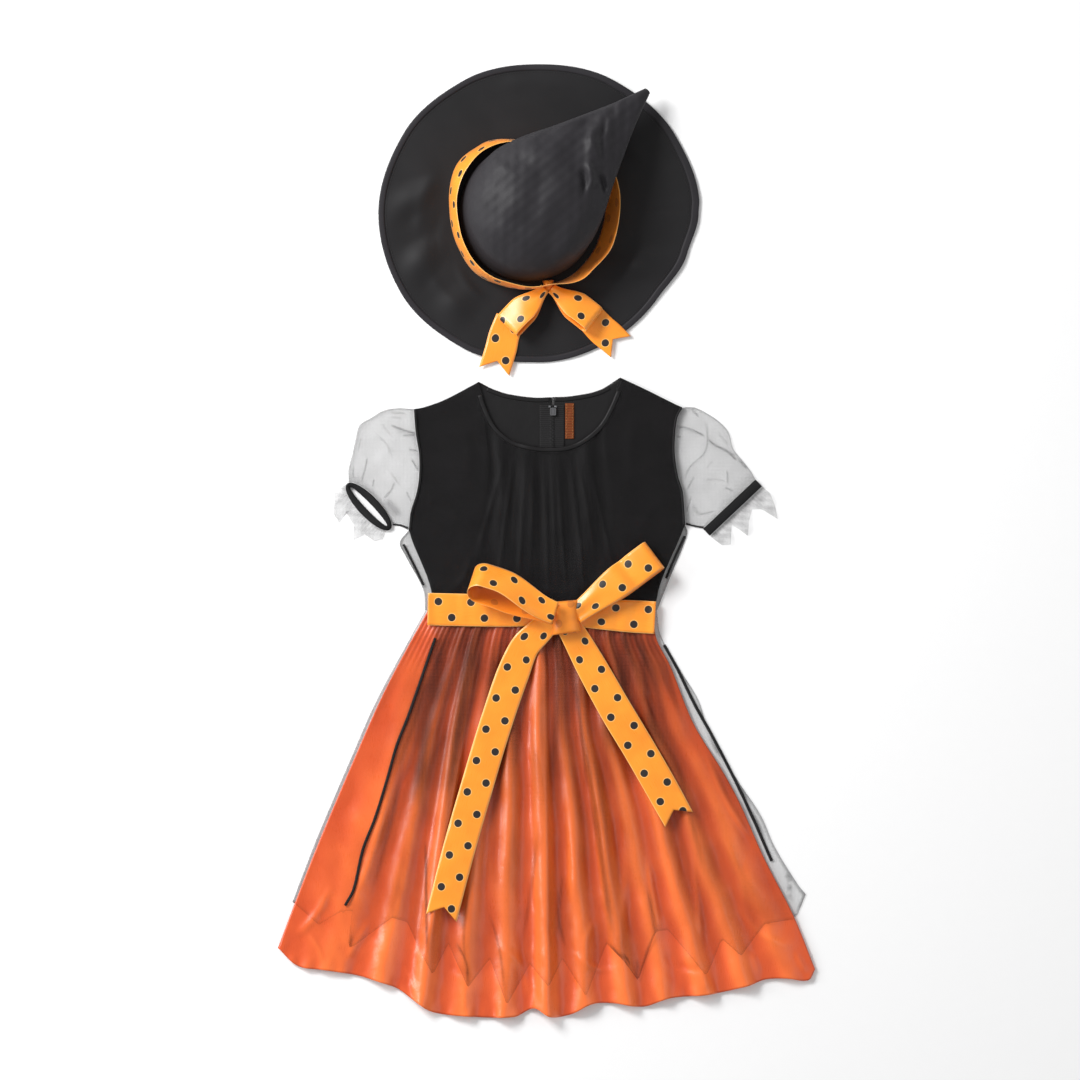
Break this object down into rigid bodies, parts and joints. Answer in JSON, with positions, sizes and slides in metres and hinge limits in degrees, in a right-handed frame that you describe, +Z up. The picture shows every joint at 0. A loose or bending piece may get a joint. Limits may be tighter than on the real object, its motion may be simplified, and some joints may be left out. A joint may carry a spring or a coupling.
{
  "type": "witch costume",
  "caption": "Child's witch costume laid flat: pointed hat with a ribbon bow, and a short-sleeved dress with a satin skirt, net overskirt and dotted ribbon sash.",
  "frame": {"origin": "on the table, under the middle of the hat and dress as they are laid out", "axes": "+Z up from the table, +Y from the dress towards the hat, +X to the right seen from above"},
  "size_m": [0.631, 1.12, 0.0819],
  "materials": {
    "bodice_satin": "matt satin-back cloth",
    "bodice_net": "soft gathered net",
    "skirt_satin": "glossy satin",
    "overskirt_net": "fine soft net",
    "sleeve_net": "stiff sheer net",
    "cuff_elastic": "gathered over elastic",
    "seam_trim": "overlocked thread and narrow tape",
    "zip_metal": "painted zip hardware",
    "label_strip": "woven strip, bare",
    "sash_ribbon": "single-face satin ribbon with dark dots",
    "hat_cloth": "brushed cloth, matt"
  },
  "bodies": {
    "root": {"bodice_front": "bodice_satin", "bodice_back_left": "bodice_satin", "bodice_back_right": "bodice_satin", "bodice_overlay_front": "bodice_net", "bodice_overlay_back_left": "bodice_net", "bodice_overlay_back_right": "bodice_net", "skirt_front": "skirt_satin", "skirt_back": "skirt_satin", "overskirt_front": "overskirt_net", "overskirt_back": "overskirt_net", "sleeve_left": "sleeve_net", "sleeve_right": "sleeve_net", "cuff_frill_left": "sleeve_net", "cuff_frill_right": "sleeve_net", "cuff_left": "cuff_elastic", "cuff_right": "cuff_elastic", "neck_binding_front": "seam_trim", "neck_binding_back_left": "seam_trim", "neck_binding_back_right": "seam_trim", "overlock_bodice_left": "seam_trim", "overlock_bodice_right": "seam_trim", "overlock_skirt_left": "seam_trim", "overlock_skirt_right": "seam_trim", "zip_tape": "seam_trim", "zip_slider": "zip_metal", "zip_stop_left": "zip_metal", "zip_stop_right": "zip_metal", "neck_label": "label_strip", "belt_left": "sash_ribbon", "belt_right": "sash_ribbon", "belt_back": "sash_ribbon", "sash_knot": "sash_ribbon", "sash_loop_left": "sash_ribbon", "sash_loop_right": "sash_ribbon", "sash_tail_left": "sash_ribbon", "sash_tail_right": "sash_ribbon", "hat_band": "sash_ribbon", "hat_knot": "sash_ribbon", "hat_loop_left": "sash_ribbon", "hat_loop_right": "sash_ribbon", "hat_tail_left": "sash_ribbon", "hat_tail_right": "sash_ribbon", "hat_brim": "hat_cloth", "hat_brim_band": "hat_cloth", "hat_crown": "hat_cloth"}
  },
  "joints": []
}
